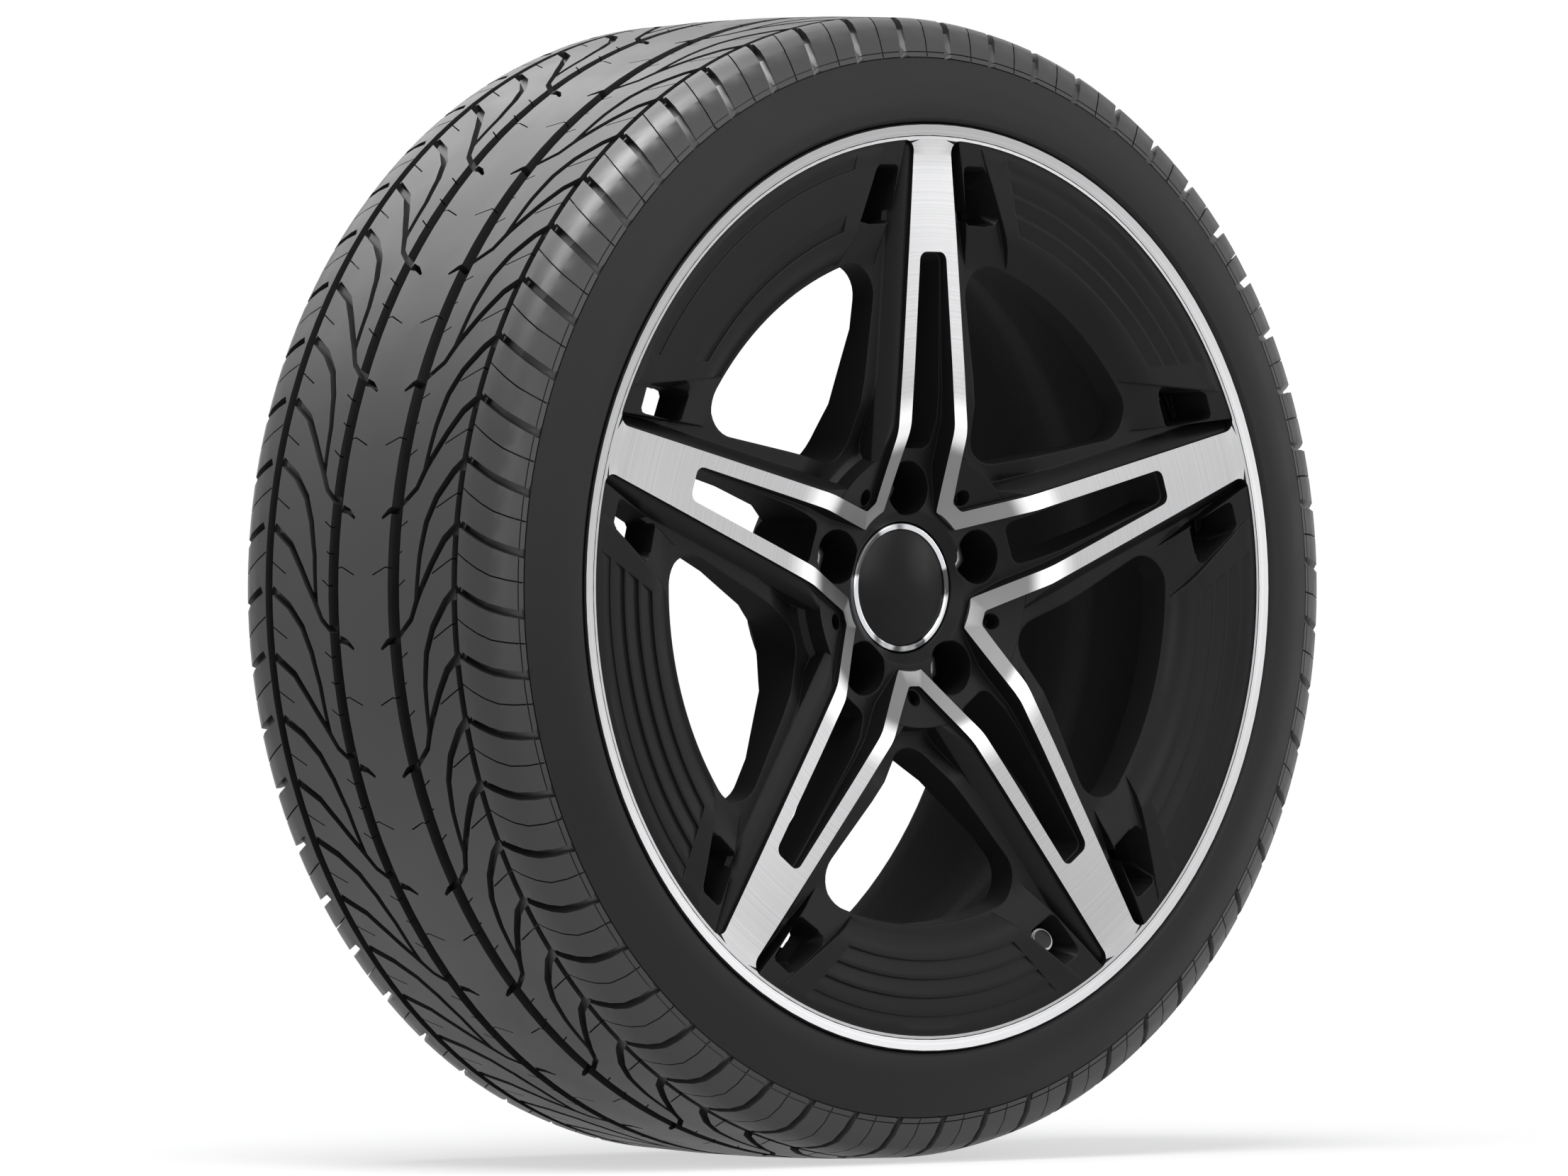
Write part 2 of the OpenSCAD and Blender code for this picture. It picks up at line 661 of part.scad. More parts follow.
module valve_cap() {
  top = stem_end + seal_h + seal_gap + cap_lid;
  base = top - valve_cap_l;
  color([0.72, 0.72, 0.74]) stand() at_valve() difference() {
    union() {
      rod(valve_cap_d / 2, base, top - 0.8);
      rod(valve_cap_d / 2 - 0.8, base, top);
    }
    rod(stem_r + cap_clear, base - over, top - cap_lid);
  }
}

module valve_cap_seal() {
  color([0.1, 0.1, 0.1]) stand() at_valve() difference() {
    rod(stem_r, stem_end, stem_end + seal_h);
    rod(1.2, stem_end - over, stem_end + 0.8);
  }
}

// Pressure sensor screwed to the foot of the valve, inside the tyre
module pressure_sensor() {
  top = -barrel_wall - 2 * base_h;
  color([0.12, 0.12, 0.13]) stand() at_valve() difference() {
    translate([0, 0, top - sensor_h]) linear_extrude(sensor_h) offset(r = 5) offset(delta = -5)
      translate([-sensor_l / 2, -13]) square([sensor_l, sensor_w]);
    rod(screw_r, top - sensor_h - over, top + over);
    rod(4.5, top - sensor_h - over, top - sensor_ear);
  }
}

module sensor_screw() {
  top = -barrel_wall - 2 * base_h;
  color([0.7, 0.7, 0.72]) stand() at_valve() difference() {
    union() {
      rod(screw_r, top - sensor_ear - 1, top + 5);
      rod(3.4, top - sensor_ear - 2.4, top - sensor_ear);
    }
    rod(0.7, top - sensor_ear - 3, top + 6);
  }
}

wheel();
tyre();
centre_cap();
cap_ring();
cap_wire();
bolt_at(0);  // wheel_bolt_1
bolt_at(1);  // wheel_bolt_2
bolt_at(2);  // wheel_bolt_3
bolt_at(3);  // wheel_bolt_4
bolt_at(4);  // wheel_bolt_5
valve_stem();
valve_grommet();
valve_nut();
valve_core();
valve_pin();
valve_spring();
valve_cap();
valve_cap_seal();
pressure_sensor();
sensor_screw();
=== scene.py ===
"""Dresses an alloy road wheel with its tyre, bolts, centre cap and valve, and sets up a white studio."""

import json
import math

import bmesh
import bpy
from mathutils import Matrix, Vector


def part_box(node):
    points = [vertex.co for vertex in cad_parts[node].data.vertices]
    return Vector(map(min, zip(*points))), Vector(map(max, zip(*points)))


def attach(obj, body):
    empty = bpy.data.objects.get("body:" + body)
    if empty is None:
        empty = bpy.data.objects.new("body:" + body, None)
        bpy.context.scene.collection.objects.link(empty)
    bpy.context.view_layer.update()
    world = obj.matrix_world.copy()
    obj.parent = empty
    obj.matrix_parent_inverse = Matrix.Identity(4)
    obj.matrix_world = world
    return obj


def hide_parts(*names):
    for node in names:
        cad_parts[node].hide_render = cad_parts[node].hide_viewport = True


bl_info = {
    "name": "Alloy Road Wheel",
    "version": (1, 0, 0),
    "blender": (4, 5, 0),
    "location": "View3D > Sidebar > Wheel",
    "description": "Dresses a road wheel with its tyre, bolts, cap and valve",
    "category": "Object",
}

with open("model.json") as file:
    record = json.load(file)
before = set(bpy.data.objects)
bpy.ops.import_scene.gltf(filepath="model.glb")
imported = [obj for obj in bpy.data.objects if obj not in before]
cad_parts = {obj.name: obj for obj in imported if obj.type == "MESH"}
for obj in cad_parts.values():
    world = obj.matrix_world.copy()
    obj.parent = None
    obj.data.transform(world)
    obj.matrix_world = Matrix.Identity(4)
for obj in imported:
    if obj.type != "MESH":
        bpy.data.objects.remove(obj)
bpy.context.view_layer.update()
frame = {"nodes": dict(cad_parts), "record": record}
NODES = frame["nodes"]
FRONT_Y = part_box("wheel")[0].y
FLOOR_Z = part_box("tyre")[0].z
SPOKES = 5
CENTRE = (0.0, 0.0, 0.0)

# The turned face: (radius, depth behind the front of the flange) in metres, from the hub to the ring
FACE_PROFILE = ((0.044, 0.02214), (0.086, 0.003316), (0.0885, 0.002346), (0.091, 0.001653),
                (0.0935, 0.001238), (0.096, 0.0011), (0.12528, 0.0008), (0.19983, 0.0013),
                (0.2437, 0.002), (0.2517, 0.0013), (0.25355, 0.00125), (0.25405, 0.0012),
                (0.26, 0.0), (0.262, 0.0))
FACE_GAP = 0.0004
# Radii between which the turned bands run together round the cap, and where the bands end at the ring
HUB_BANDS = (0.045, 0.08)
BAND_END = 0.2437
# What counts as the back of the casting: faces turned this far from the front, or deeper and further out
BACK_NORMAL = -0.35
BARREL_DEPTH = 0.034
BARREL_RADIUS = 0.11

# Outline of a vent beside a spoke: (across from the spoke's middle, out from the axis) in metres
VENT_OUTLINE = ((0.0272, 0.2372), (0.0252, 0.2358), (0.0251, 0.233), (0.0291, 0.2062), (0.0312, 0.204),
                (0.0455, 0.2032), (0.0482, 0.2051), (0.0484, 0.2088), (0.0412, 0.235), (0.039, 0.237))
VENT_MIDDLE = (0.0365, 0.219)
# Depths in metres between which a vent is cleared, each with the outline's share of its size there
VENT_ENDS = ((-0.001, 1.0), (0.0312, 0.96))
# The vent that holds the valve: (number of the spoke, side of it)
VALVE_VENT = (2, 1)

# Outer profile of the tyre: (distance from its middle plane, radius) in metres
TYRE_PROFILE = ((0.0, 0.3235), (0.0444, 0.3229), (0.0888, 0.3211), (0.0971, 0.3191), (0.103, 0.3156),
                (0.108, 0.3081), (0.113, 0.2951), (0.118, 0.285), (0.121, 0.275))
TREAD_RADIUS = 0.299
PITCHES = 28
# Where the first pitch of the tread starts, in degrees clockwise from the top
TREAD_START = 238.1
# Fine cuts of one pitch: (degrees after the pitch's start, depth behind the flange). The first group comes
# again half a pitch on. Each cut has a mirror image, across the middle or across the foot of the tread's vee.
HALF_SIPES = (((16.15, 0.0394), (14.63, 0.0254), (13.73, 0.0166), (13.35, 0.0119), (13.1, 0.0088)),
              ((9.05, 0.042), (8.6, 0.047), (7.55, 0.058)))
PITCH_SIPES = (((6.2, 0.0862), (6.95, 0.0798)), ((9.4, 0.0861), (9.75, 0.0829)),
               ((12.0, 0.0863), (12.7, 0.0798)), ((7.95, 0.09), (8.2, 0.0964), (7.4, 0.1073)))
MIDDLE_DEPTH = 0.12045
VEE_DEPTH = 0.11495
# Radii of the two fine grooves on each shoulder, and a point of its slope (from the middle plane, radius)
SHOULDER_LINES = (0.3012, 0.298)
SHOULDER_POINT = (0.108, 0.3081)
SHOULDER_SLOPE = 5 / 13
LINE_HALF_WIDTH = 0.00035
LINE_FLOOR, LINE_TOP = -0.0011, 0.001

KNURL_LENGTH = 0.0095
FLUTE_DEPTH = 0.00045
CAP_CLEAR = 0.0004
INLAY_RADIUS = 0.0056
INLAY_DEPTH = 0.0004


class WheelSizes(bpy.types.PropertyGroup):
    ring_radius: bpy.props.FloatProperty(
        name="Ring radius", description="Inner radius of the turned ring on the flange",
        default=0.2517, unit="LENGTH")
    band_width: bpy.props.FloatProperty(
        name="Band width", description="Width of a twin spoke at its outer end",
        default=0.0284, unit="LENGTH")
    band_flare: bpy.props.FloatProperty(
        name="Band flare", description="Angle at which each edge of a twin spoke opens inwards",
        default=math.radians(4.39), subtype="ANGLE")
    edge_round: bpy.props.FloatProperty(
        name="Edge rounding", description="Radius of the painted casting's soft edges",
        default=0.0016, unit="LENGTH")
    sipe_width: bpy.props.FloatProperty(
        name="Sipe width", description="Width of the fine cuts in the tread",
        default=0.0008, unit="LENGTH")
    sipe_depth: bpy.props.FloatProperty(
        name="Sipe depth", description="Depth of the fine cuts in the tread",
        default=0.004, unit="LENGTH")
    knurl_count: bpy.props.IntProperty(
        name="Knurl ridges", description="Number of ridges round the valve cap", default=36)


class WheelColours(bpy.types.PropertyGroup):
    paint: bpy.props.FloatVectorProperty(
        name="Paint", description="Black paint of the casting", subtype="COLOR", size=3,
        default=(0.0042, 0.0042, 0.0044))
    turned: bpy.props.FloatVectorProperty(
        name="Turned metal", description="Bright turned faces of the casting", subtype="COLOR",
        size=3, default=(0.53, 0.53, 0.538))
    rubber: bpy.props.FloatVectorProperty(
        name="Rubber", description="Tyre rubber", subtype="COLOR", size=3,
        default=(0.0095, 0.0095, 0.0098))
    chrome: bpy.props.FloatVectorProperty(
        name="Chrome", description="Bright ring of the centre cap", subtype="COLOR", size=3,
        default=(0.72, 0.73, 0.75))
    floor: bpy.props.FloatVectorProperty(
        name="Floor", description="Studio floor", subtype="COLOR", size=3,
        default=(0.9, 0.9, 0.9))


def sizes():
    return bpy.context.scene.wheel_sizes


def colours():
    return bpy.context.scene.wheel_colours


def new_material(name):
    mat = bpy.data.materials.new(name)
    mat.use_nodes = True
    return mat, mat.node_tree, mat.node_tree.nodes["Principled BSDF"]


def node(tree, kind, **values):
    made = tree.nodes.new(kind)
    for key, value in values.items():
        setattr(made, key, value)
    return made


def math_node(tree, operation, a, b=None):
    made = node(tree, "ShaderNodeMath", operation=operation)
    for socket, value in zip(made.inputs, (a, b)):
        if isinstance(value, (int, float)):
            socket.default_value = value
        elif value is not None:
            tree.links.new(value, socket)
    return made.outputs[0]


def object_coords(tree):
    return node(tree, "ShaderNodeTexCoord").outputs["Object"]


def axis_distance(tree):
    """Distance of a point from the wheel's axis."""
    split = node(tree, "ShaderNodeSeparateXYZ")
    tree.links.new(object_coords(tree), split.inputs[0])
    x, y, z = split.outputs
    across = math_node(tree, "MULTIPLY", x, x)
    up = math_node(tree, "MULTIPLY", z, z)
    return math_node(tree, "SQRT", math_node(tree, "ADD", across, up))


def noise_node(tree, vector, scale, detail=2.0, roughness=0.5):
    made = node(tree, "ShaderNodeTexNoise")
    made.inputs["Scale"].default_value = scale
    made.inputs["Detail"].default_value = detail
    made.inputs["Roughness"].default_value = roughness
    tree.links.new(vector, made.inputs["Vector"])
    return made.outputs["Fac"]


def map_range(tree, value, low, high, to_low, to_high):
    made = node(tree, "ShaderNodeMapRange")
    tree.links.new(value, made.inputs["Value"])
    made.interpolation_type = "SMOOTHSTEP"
    for name, number in (("From Min", low), ("From Max", high), ("To Min", to_low), ("To Max", to_high)):
        made.inputs[name].default_value = number
    return made.outputs["Result"]


def mix_colour(tree, factor, a, b):
    made = node(tree, "ShaderNodeMix", data_type="RGBA")
    tree.links.new(factor, made.inputs["Factor"])
    for socket, value in ((made.inputs[6], a), (made.inputs[7], b)):
        if hasattr(value, "links"):
            tree.links.new(value, socket)
        else:
            socket.default_value = (*value, 1.0)
    return made.outputs[2]


def seen_directly(tree):
    """One where the camera, a reflection or a clear piece shows the surroundings, and zero for light."""
    path = node(tree, "ShaderNodeLightPath")
    mirrored = math_node(tree, "MAXIMUM", path.outputs["Is Glossy Ray"], path.outputs["Is Transmission Ray"])
    return math_node(tree, "MAXIMUM", path.outputs["Is Camera Ray"], mirrored)


def mix_shaders(tree, factor, a, b, output):
    mix = node(tree, "ShaderNodeMixShader")
    for socket, value in zip(mix.inputs, (factor, a, b)):
        tree.links.new(value, socket)
    tree.links.new(mix.outputs[0], tree.nodes[output].inputs["Surface"])


def bump(tree, shader, height, strength, distance, normal=None):
    made = node(tree, "ShaderNodeBump")
    made.inputs["Strength"].default_value = strength
    made.inputs["Distance"].default_value = distance
    tree.links.new(height, made.inputs["Height"])
    if normal is not None:
        tree.links.new(normal, made.inputs["Normal"])
    tree.links.new(made.outputs["Normal"], shader.inputs["Normal"])


def paint_material():
    """Black paint with a fine orange peel and soft edges."""
    mat, tree, shader = new_material("black_paint")
    coords = object_coords(tree)
    grain = noise_node(tree, coords, 900.0)
    cloud = noise_node(tree, coords, 22.0)
    base = colours().paint
    lighter = [1.35 * c for c in base]
    tree.links.new(mix_colour(tree, cloud, base, lighter), shader.inputs["Base Color"])
    tree.links.new(map_range(tree, cloud, 0.3, 0.7, 0.34, 0.44), shader.inputs["Roughness"])
    shader.inputs["Specular IOR Level"].default_value = 0.14
    rounded = node(tree, "ShaderNodeBevel", samples=6)
    rounded.inputs["Radius"].default_value = sizes().edge_round
    bump(tree, shader, grain, 0.05, 0.0002, rounded.outputs["Normal"])
    return mat


def barrel_shade_material():
    """Painted shade: a duller copy of the black paint, inside the barrel and on the back, with little gloss
    and a grain up to 2.4 times as light as the paint.
    """
    mat, tree, shader = new_material("barrel_paint_painted_shade")
    coords = object_coords(tree)
    grain = noise_node(tree, coords, 700.0)
    tree.links.new(mix_colour(tree, grain, colours().paint, [2.4 * c for c in colours().paint]),
                   shader.inputs["Base Color"])
    tree.links.new(map_range(tree, grain, 0.3, 0.7, 0.62, 0.72), shader.inputs["Roughness"])
    # Painted shade: the low gloss stands in for the shade that falls inside the barrel.
    shader.inputs["Specular IOR Level"].default_value = 0.03
    bump(tree, shader, grain, 0.1, 0.0002)
    return mat


def turned_material():
    """Bright turned metal: fine rings left by the tool, with painted shade where the face falls to the hub
    and a painted highlight across the bend.
    """
    mat, tree, shader = new_material("turned_metal")
    radius = axis_distance(tree)
    rings = node(tree, "ShaderNodeCombineXYZ")
    tree.links.new(radius, rings.inputs[0])
    fine = noise_node(tree, rings.outputs[0], 2600.0, 3.0, 0.6)
    wide = noise_node(tree, rings.outputs[0], 650.0, 3.0, 0.6)
    half_fine = math_node(tree, "MULTIPLY", fine, 0.5)
    half_wide = math_node(tree, "MULTIPLY", wide, 0.5)
    streak = map_range(tree, math_node(tree, "ADD", half_fine, half_wide), 0.36, 0.64, 0.0, 1.0)
    bright = colours().turned
    # Painted shade: the face is made 0.4 times as bright inside the bend, where it falls to the hub.
    painted_shade_grey = [0.4 * c for c in bright]
    dull = [0.8 * c for c in bright]
    lit = mix_colour(tree, streak, dull, bright)
    # Painted shade mask: one inside radius 0.079, falling to zero by 0.089.
    painted_shade_slope = map_range(tree, radius, 0.079, 0.089, 1.0, 0.0)
    # Painted highlight: the colour rises to near white in a band across the bend, from radius 0.077 to 0.113.
    painted_bend_highlight = math_node(tree, "MULTIPLY", map_range(tree, radius, 0.077, 0.09, 0.0, 1.0),
                     map_range(tree, radius, 0.0935, 0.113, 1.0, 0.0))
    with_painted_shade = mix_colour(tree, painted_shade_slope, lit, painted_shade_grey)
    tree.links.new(mix_colour(tree, painted_bend_highlight, with_painted_shade, (0.97, 0.97, 0.97)), shader.inputs["Base Color"])
    shader.inputs["Metallic"].default_value = 1.0
    shader.inputs["Anisotropic"].default_value = 0.75
    tangent = node(tree, "ShaderNodeTangent", direction_type="RADIAL", axis="Y")
    tree.links.new(tangent.outputs[0], shader.inputs["Tangent"])
    tree.links.new(map_range(tree, fine, 0.2, 0.8, 0.28, 0.38), shader.inputs["Roughness"])
    bump(tree, shader, fine, 0.25, 0.00003)
    return mat


def rubber_material(name, shade, specular, rough, grain_strength):
    """Black rubber with a fine moulded grain."""
    mat, tree, shader = new_material(name)
    coords = object_coords(tree)
    grain = noise_node(tree, coords, 1500.0, 4.0)
    cloud = noise_node(tree, coords, 30.0, 3.0)
    base = [shade * c for c in colours().rubber]
    lighter = [1.3 * c for c in base]
    tree.links.new(mix_colour(tree, cloud, base, lighter), shader.inputs["Base Color"])
    tree.links.new(map_range(tree, cloud, 0.3, 0.7, rough - 0.03, rough + 0.03), shader.inputs["Roughness"])
    shader.inputs["Specular IOR Level"].default_value = specular
    bump(tree, shader, grain, grain_strength, 0.0002)
    return mat


def plain_material(name, colour, metallic, roughness, grain_scale=1200.0, grain=0.08, specular=0.5):
    """A finish with a little variation in its gloss and a fine grain."""
    mat, tree, shader = new_material(name)
    coords = object_coords(tree)
    speckle = noise_node(tree, coords, grain_scale, 3.0)
    cloud = noise_node(tree, coords, 60.0)
    darker = [0.85 * c for c in colour]
    tree.links.new(mix_colour(tree, cloud, darker, colour), shader.inputs["Base Color"])
    shader.inputs["Metallic"].default_value = metallic
    shader.inputs["Specular IOR Level"].default_value = specular
    tree.links.new(map_range(tree, cloud, 0.3, 0.7, roughness * 0.9, roughness * 1.1),
                   shader.inputs["Roughness"])
    bump(tree, shader, speckle, grain, 0.0001)
    return mat


def chrome_material():
    """Plated ring with painted dark and bright reflection patches in its colour."""
    mat, tree, shader = new_material("cap_chrome")
    coords = object_coords(tree)
    # Painted reflection: noise patches switch the colour between a dark and a bright chrome.
    painted_reflection_patch = map_range(tree, noise_node(tree, coords, 38.0, 2.0), 0.42, 0.52, 0.0, 1.0)
    painted_dark_reflection = [0.12 * c for c in colours().chrome]
    tree.links.new(mix_colour(tree, painted_reflection_patch, painted_dark_reflection, (0.7, 0.71, 0.73)), shader.inputs["Base Color"])
    shader.inputs["Metallic"].default_value = 1.0
    tree.links.new(map_range(tree, painted_reflection_patch, 0.0, 1.0, 0.06, 0.1), shader.inputs["Roughness"])
    return mat


def select_only(obj):
    bpy.ops.object.select_all(action="DESELECT")
    obj.select_set(True)
    bpy.context.view_layer.objects.active = obj


def solid_copy(source, name):
    """A new piece with the merged mesh of a CAD node."""
    piece = bpy.data.objects.new(name, NODES[source].data.copy())
    bpy.context.scene.collection.objects.link(piece)
    piece.data.name = name
    select_only(piece)
    if piece.data.has_custom_normals:
        bpy.ops.mesh.customdata_custom_splitnormals_clear()
    bpy.ops.object.mode_set(mode="EDIT")
    bpy.ops.mesh.select_all(action="SELECT")
    bpy.ops.mesh.remove_doubles(threshold=0.000004)
    bpy.ops.object.mode_set(mode="OBJECT")
    return piece


def dissolve(piece, angle):
    select_only(piece)
    bpy.ops.object.mode_set(mode="EDIT")
    bpy.ops.mesh.select_all(action="SELECT")
    bpy.ops.mesh.dissolve_limited(angle_limit=math.radians(angle))
    bpy.ops.object.mode_set(mode="OBJECT")


def bevel(piece, width, segments=2, angle=30.0):
    select_only(piece)
    mod = piece.modifiers.new("edges", "BEVEL")
    mod.width = width
    mod.segments = segments
    mod.limit_method = "ANGLE"
    mod.angle_limit = math.radians(angle)
    mod.harden_normals = False
    bpy.ops.object.modifier_apply(modifier=mod.name)


def smooth(piece, angle=30.0):
    select_only(piece)
    bpy.ops.object.shade_smooth_by_angle(angle=math.radians(angle))


def coat(piece, *materials):
    piece.data.materials.clear()
    for mat in materials:
        piece.data.materials.append(mat)


def follow(profile, place, past):
    """The profile's second value at a place along its first, or the value past its end."""
    for (x0, y0), (x1, y1) in zip(profile, profile[1:]):
        if place <= x1:
            return y0 + (y1 - y0) * (place - x0) / (x1 - x0)
    return past


def in_band(x, z):
    """Whether a point in the plane of the wheel lies on a twin spoke or the ring."""
    radius = math.hypot(x, z)
    if radius > sizes().ring_radius - FACE_GAP or HUB_BANDS[0] < radius < HUB_BANDS[1]:
        return True
    step = 2 * math.pi / SPOKES
    angle = (math.atan2(x, z) + step / 2) % step - step / 2
    along = radius * math.cos(angle)
    across = abs(radius * math.sin(angle))
    return across < sizes().band_width / 2 + (BAND_END - along) * math.tan(sizes().band_flare) + 0.0003


def turned_face(mesh, face):
    """Whether a face of the casting lies on the turned surface."""
    if face.normal.y > -0.8:
        return False
    middle = face.center
    if not in_band(middle.x, middle.z):
        return False
    corners = [mesh.vertices[i].co for i in face.vertices]
    return all(abs(p.y - FRONT_Y - follow(FACE_PROFILE, math.hypot(p.x, p.z), 1.0)) < FACE_GAP
               for p in corners)


def back_face(face):
    """Whether a face of the casting is behind the spokes or inside the barrel."""
    middle = face.center
    inside = middle.y > FRONT_Y + BARREL_DEPTH and math.hypot(middle.x, middle.z) > BARREL_RADIUS
    return face.normal.y > BACK_NORMAL or inside


def close_prism(mesh, low, high):
    """Side and end faces between two rings of vertices."""
    count = len(low)
    for k in range(count):
        n = (k + 1) % count
        mesh.faces.new((low[k], low[n], high[n], high[k]))
    mesh.faces.new(low[::-1])
    mesh.faces.new(high)


def vent_ring(mesh, turn, side, depth, share):
    """The outline of a vent at a depth, beside the spoke at an angle."""
    ring = []
    for across, out in VENT_OUTLINE:
        u = side * (VENT_MIDDLE[0] + (across - VENT_MIDDLE[0]) * share)
        v = VENT_MIDDLE[1] + (out - VENT_MIDDLE[1]) * share
        ring.append(mesh.verts.new((v * math.sin(turn) + u * math.cos(turn), FRONT_Y + depth,
                                    v * math.cos(turn) - u * math.sin(turn))))
    return ring


def open_vents(piece):
    """Clears the way through the vents beside the spokes, apart from the one that holds the valve."""
    mesh = bmesh.new()
    for i in range(SPOKES):
        for side in (1, -1):
            if (i, side) != VALVE_VENT:
                turn = 2 * math.pi * i / SPOKES
                low, high = [vent_ring(mesh, turn, side, depth, share) for depth, share in VENT_ENDS]
                close_prism(mesh, low, high)
    cut(piece, mesh)


class WHEEL_OT_casting(bpy.types.Operator):
    """Casting: black paint with turned bright faces"""
    bl_idname = "wheel.casting"
    bl_label = "Casting"

    def execute(self, context):
        piece = solid_copy("wheel", "casting")
        open_vents(piece)
        coat(piece, paint_material(), turned_material(), barrel_shade_material())
        mesh = piece.data
        for face in mesh.polygons:
            if back_face(face):
                face.material_index = 2
            elif turned_face(mesh, face):
                face.material_index = 1
            else:
                face.material_index = 0
        smooth(piece, 28.0)
        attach(piece, "wheel_body")
        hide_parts("wheel")
        return {"FINISHED"}


def tyre_radius(depth):
    """Outer radius of the tyre, at a depth behind the front of the flange."""
    return follow(TYRE_PROFILE, abs(depth + FRONT_Y), TYRE_PROFILE[-1][1])


def add_strip(mesh, path, width, sink, rise=0.0012):
    """A closed strip that follows the tread along (angle in degrees, depth in metres)."""
    rings = []
    for i, (angle, depth) in enumerate(path):
        before, after = path[max(i - 1, 0)], path[min(i + 1, len(path) - 1)]
        radius = tyre_radius(depth)
        along = Vector((math.radians(after[0] - before[0]) * radius, after[1] - before[1])).normalized()
        ring = []
        for side, height in ((-1, -sink), (1, -sink), (1, rise), (-1, rise)):
            turn = math.radians(angle) - side * along.y * width / 2 / radius
            ring.append(mesh.verts.new((
                (radius + height) * math.sin(turn),
                FRONT_Y + depth + side * along.x * width / 2,
                (radius + height) * math.cos(turn))))
        rings.append(ring)
    for low, high in zip(rings, rings[1:]):
        for k in range(4):
            mesh.faces.new((low[k], low[(k + 1) % 4], high[(k + 1) % 4], high[k]))
    mesh.faces.new(rings[0][::-1])
    mesh.faces.new(rings[-1])


def add_ring_groove(mesh, profile, segments=240):
    """A closed ring round the wheel's axis with the profile's points (radius, depth)."""
    rings = []
    for i in range(segments):
        angle = 2 * math.pi * i / segments
        rings.append([mesh.verts.new((r * math.sin(angle), FRONT_Y + d, r * math.cos(angle)))
                      for r, d in profile])
    count = len(profile)
    for i in range(segments):
        here, there = rings[i], rings[(i + 1) % segments]
        for k in range(count):
            mesh.faces.new((here[k], here[(k + 1) % count], there[(k + 1) % count], there[k]))


def add_shoulder_lines(mesh):
    """Two fine grooves round each shoulder, with the raised line that ends the tread blocks between them."""
    along, out = Vector((-0.933, 0.359)), Vector((0.359, 0.933))
    half = LINE_HALF_WIDTH
    section = ((-half, LINE_FLOOR), (half, LINE_FLOOR), (half, LINE_TOP), (-half, LINE_TOP))
    for radius in SHOULDER_LINES:
        low = SHOULDER_POINT[0] + (SHOULDER_POINT[1] - radius) * SHOULDER_SLOPE
        for flip in (1, -1):
            corners = []
            for a, b in section:
                r = radius + along.x * a + out.x * b
                corners.append((r, -FRONT_Y - flip * (low + along.y * a + out.y * b)))
            add_ring_groove(mesh, corners)


def cut(piece, mesh):
    """Takes the closed shapes of a bmesh out of a piece."""
    bmesh.ops.recalc_face_normals(mesh, faces=mesh.faces)
    data = bpy.data.meshes.new("cutter")
    mesh.to_mesh(data)
    mesh.free()
    cutter = bpy.data.objects.new("cutter", data)
    bpy.context.scene.collection.objects.link(cutter)
    select_only(piece)
    mod = piece.modifiers.new("cuts", "BOOLEAN")
    mod.operation = "DIFFERENCE"
    mod.solver = "MANIFOLD"
    mod.object = cutter
    bpy.ops.object.modifier_apply(modifier=mod.name)
    bpy.data.objects.remove(cutter)
    bpy.data.meshes.remove(data)


def add_all_sipes(mesh):
    """The fine cuts of every pitch round the tread."""
    pitch = 360 / PITCHES
    width, sink = sizes().sipe_width, sizes().sipe_depth
    for i in range(PITCHES):
        start = TREAD_START + i * pitch
        paths = []
        for path in HALF_SIPES:
            for half in (0, pitch / 2):
                near = [(start + half + a, d) for a, d in path]
                paths += [near, [(a, 2 * MIDDLE_DEPTH - d) for a, d in near]]
        for path in PITCH_SIPES:
            near = [(start + a, d) for a, d in path]
            paths += [near, [(a, 2 * VEE_DEPTH - d) for a, d in near]]
        for path in paths:
            add_strip(mesh, path, width, sink)


class WHEEL_OT_tyre(bpy.types.Operator):
    """Tyre: rubber with its tread, sipes and shoulder lines"""
    bl_idname = "wheel.tyre"
    bl_label = "Tyre"

    def execute(self, context):
        piece = solid_copy("tyre", "tyre_dressed")
        mesh = bmesh.new()
        add_all_sipes(mesh)
        cut(piece, mesh)
        mesh = bmesh.new()
        add_shoulder_lines(mesh)
        cut(piece, mesh)
        # Painted sheen: the tread's copy of the rubber is 1.4 times as light as the sidewall's, for the sheen
        # of the light on the tread.
        coat(piece, rubber_material("tyre_rubber", 1.0, 0.17, 0.5, 0.12),
             rubber_material("tread_rubber_painted_sheen", 1.4, 0.5, 0.42, 0.08))
        for face in piece.data.polygons:
            middle = face.center
            face.material_index = 1 if math.hypot(middle.x, middle.z) > TREAD_RADIUS else 0
        smooth(piece, 28.0)
        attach(piece, "wheel_body")
        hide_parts("tyre")
        return {"FINISHED"}


class WHEEL_OT_bolts(bpy.types.Operator):
    """Wheel bolts: hexagon heads with broken edges"""
    bl_idname = "wheel.bolts"
    bl_label = "Wheel bolts"

    def execute(self, context):
        steel = plain_material("bolt_steel", (0.34, 0.34, 0.35), 1.0, 0.4)
        for i in range(1, SPOKES + 1):
            piece = solid_copy("wheel_bolt_%d" % i, "bolt_dressed_%d" % i)
            dissolve(piece, 1.0)
            bevel(piece, 0.0005)
            smooth(piece)
            coat(piece, steel)
            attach(piece, "wheel_body")
            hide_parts("wheel_bolt_%d" % i)
        return {"FINISHED"}


